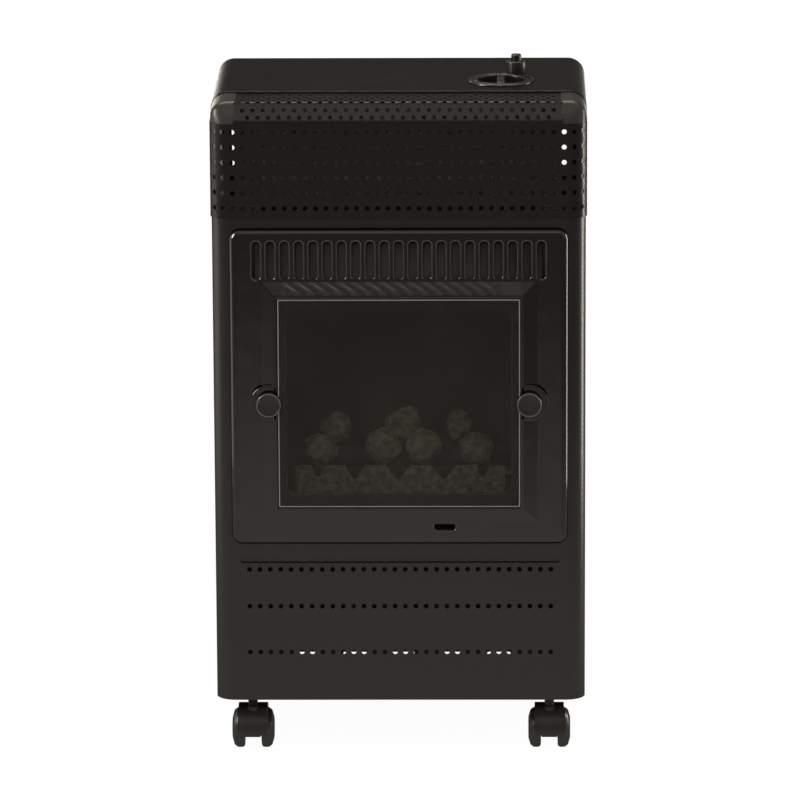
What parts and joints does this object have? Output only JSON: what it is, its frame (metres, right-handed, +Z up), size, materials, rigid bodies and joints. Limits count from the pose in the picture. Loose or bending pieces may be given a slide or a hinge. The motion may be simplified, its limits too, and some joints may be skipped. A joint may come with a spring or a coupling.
{
  "type": "portable gas cabinet heater",
  "caption": "Portable flame-effect gas cabinet heater: steel cabinet on castors, glass window over ceramic coals, perforated hot-air grille, gas control and igniter on the deck.",
  "frame": {"origin": "on the floor, under the middle of the heater's overall width and depth", "axes": "+X to the right as seen from the front, +Y towards the back, +Z up; the window faces -Y"},
  "size_m": [0.4232, 0.4652, 0.7835],
  "materials": {
    "body_paint": "satin black stove paint with a warm cast",
    "grille_paint": "satin black paint on perforated sheet",
    "enamel": "glossy black enamel",
    "cap_plastic": "fine grained black",
    "control_plastic": "semi-gloss black",
    "knob_black": "black, worn rim",
    "castor_plastic": "black moulding",
    "wheel_plastic": "black, scuffed tread",
    "glass": "clear heat-resisting pane over a dark firebox",
    "rope_seal": "braided glass rope, dark",
    "ceramic": "sooty ceramic fibre",
    "white_ceramic": "glazed insulator",
    "plain_steel": "aluminised sheet, heat stained",
    "bright_steel": "zinc plated",
    "cast_alloy": "as cast",
    "brass": "dull"
  },
  "bodies": {
    "cabinet": {"base_plate": "body_paint", "burner_brackets": "plain_steel", "burner_pipe": "brass", "burner_tube": "plain_steel", "cabinet_wrap": "body_paint", "castor_nuts": "bright_steel", "castor_stems": "bright_steel", "coal_bed": "ceramic", "coal_fender": "ceramic", "coals_front": "ceramic", "coals_rear": "ceramic", "control_bezel": "control_plastic", "corner_cap_left": "cap_plastic", "corner_cap_right": "cap_plastic", "cover_channels": "body_paint", "deck_baffle": "plain_steel", "fascia_screws": "bright_steel", "firebox_floor": "plain_steel", "firebox_liner": "plain_steel", "gas_valve_body": "cast_alloy", "glass_gasket": "rope_seal", "glass_knob_studs": "bright_steel", "hose_nozzle": "brass", "igniter_body": "control_plastic", "igniter_collar": "control_plastic", "inlet_pipe": "brass", "pilot_bracket": "plain_steel", "pilot_burner": "brass", "pilot_pipe": "brass", "rear_shield": "plain_steel", "spark_electrode": "white_ceramic", "thermocouple": "bright_steel", "top_deck": "body_paint", "top_grille": "grille_paint", "valve_bracket": "plain_steel", "window_fascia": "enamel", "window_glass": "glass"},
    "valve_spindle": {"valve_spindle": "bright_steel"},
    "control_knob": {"control_knob": "control_plastic"},
    "igniter_button": {"igniter_button": "control_plastic"},
    "glass_knob_left": {"glass_knob_left": "knob_black"},
    "glass_knob_right": {"glass_knob_right": "knob_black"},
    "rear_cover": {"rear_cover": "body_paint"},
    "castor_front_left": {"castor_hood_front_left": "castor_plastic", "castor_axle_front_left": "bright_steel"},
    "castor_front_left_wheel_left": {"castor_front_left_wheel_left": "wheel_plastic"},
    "castor_front_left_wheel_right": {"castor_front_left_wheel_right": "wheel_plastic"},
    "castor_front_right": {"castor_hood_front_right": "castor_plastic", "castor_axle_front_right": "bright_steel"},
    "castor_front_right_wheel_left": {"castor_front_right_wheel_left": "wheel_plastic"},
    "castor_front_right_wheel_right": {"castor_front_right_wheel_right": "wheel_plastic"},
    "castor_rear_left": {"castor_hood_rear_left": "castor_plastic", "castor_axle_rear_left": "bright_steel"},
    "castor_rear_left_wheel_left": {"castor_rear_left_wheel_left": "wheel_plastic"},
    "castor_rear_left_wheel_right": {"castor_rear_left_wheel_right": "wheel_plastic"},
    "castor_rear_right": {"castor_hood_rear_right": "castor_plastic", "castor_axle_rear_right": "bright_steel"},
    "castor_rear_right_wheel_left": {"castor_rear_right_wheel_left": "wheel_plastic"},
    "castor_rear_right_wheel_right": {"castor_rear_right_wheel_right": "wheel_plastic"}
  },
  "joints": [
    {"name": "spindle_press", "type": "slide", "parent": "cabinet", "child": "valve_spindle", "axis": [0, 0, -1], "range_m": [0, 0.003], "stiffness_N_per_m": 1500, "springref_m": -0.003},
    {"name": "control_turn", "type": "hinge", "parent": "valve_spindle", "child": "control_knob", "pos_m": [0.1152, -0.08535, 0.75], "axis": [0, 0, 1], "range_deg": [0, 180]},
    {"name": "igniter_press", "type": "slide", "parent": "cabinet", "child": "igniter_button", "axis": [0, 0, -1], "range_m": [0, 0.006], "stiffness_N_per_m": 2500, "springref_m": -0.003},
    {"name": "glass_knob_left_turn", "type": "hinge", "parent": "cabinet", "child": "glass_knob_left", "pos_m": [-0.1464, -0.22835, 0.4176], "axis": [0, -1, 0], "continuous": true},
    {"name": "glass_knob_right_turn", "type": "hinge", "parent": "cabinet", "child": "glass_knob_right", "pos_m": [0.1464, -0.22835, 0.4176], "axis": [0, -1, 0], "continuous": true},
    {"name": "rear_cover_lift", "type": "slide", "parent": "cabinet", "child": "rear_cover", "axis": [0, 0, 1], "range_m": [0, 0.535]},
    {"name": "castor_front_left_swivel", "type": "hinge", "parent": "cabinet", "child": "castor_front_left", "pos_m": [-0.1695, -0.18035, 0.045], "axis": [0, 0, 1], "continuous": true},
    {"name": "castor_front_left_wheel_left_spin", "type": "hinge", "parent": "castor_front_left", "child": "castor_front_left_wheel_left", "pos_m": [-0.186, -0.17135, 0.023], "axis": [1, 0, 0], "continuous": true},
    {"name": "castor_front_left_wheel_right_spin", "type": "hinge", "parent": "castor_front_left", "child": "castor_front_left_wheel_right", "pos_m": [-0.153, -0.17135, 0.023], "axis": [1, 0, 0], "continuous": true},
    {"name": "castor_front_right_swivel", "type": "hinge", "parent": "cabinet", "child": "castor_front_right", "pos_m": [0.1695, -0.18035, 0.045], "axis": [0, 0, 1], "continuous": true},
    {"name": "castor_front_right_wheel_left_spin", "type": "hinge", "parent": "castor_front_right", "child": "castor_front_right_wheel_left", "pos_m": [0.153, -0.17135, 0.023], "axis": [1, 0, 0], "continuous": true},
    {"name": "castor_front_right_wheel_right_spin", "type": "hinge", "parent": "castor_front_right", "child": "castor_front_right_wheel_right", "pos_m": [0.186, -0.17135, 0.023], "axis": [1, 0, 0], "continuous": true},
    {"name": "castor_rear_left_swivel", "type": "hinge", "parent": "cabinet", "child": "castor_rear_left", "pos_m": [-0.1695, 0.18765, 0.045], "axis": [0, 0, 1], "continuous": true},
    {"name": "castor_rear_left_wheel_left_spin", "type": "hinge", "parent": "castor_rear_left", "child": "castor_rear_left_wheel_left", "pos_m": [-0.186, 0.19665, 0.023], "axis": [1, 0, 0], "continuous": true},
    {"name": "castor_rear_left_wheel_right_spin", "type": "hinge", "parent": "castor_rear_left", "child": "castor_rear_left_wheel_right", "pos_m": [-0.153, 0.19665, 0.023], "axis": [1, 0, 0], "continuous": true},
    {"name": "castor_rear_right_swivel", "type": "hinge", "parent": "cabinet", "child": "castor_rear_right", "pos_m": [0.1695, 0.18765, 0.045], "axis": [0, 0, 1], "continuous": true},
    {"name": "castor_rear_right_wheel_left_spin", "type": "hinge", "parent": "castor_rear_right", "child": "castor_rear_right_wheel_left", "pos_m": [0.153, 0.19665, 0.023], "axis": [1, 0, 0], "continuous": true},
    {"name": "castor_rear_right_wheel_right_spin", "type": "hinge", "parent": "castor_rear_right", "child": "castor_rear_right_wheel_right", "pos_m": [0.186, 0.19665, 0.023], "axis": [1, 0, 0], "continuous": true}
  ]
}
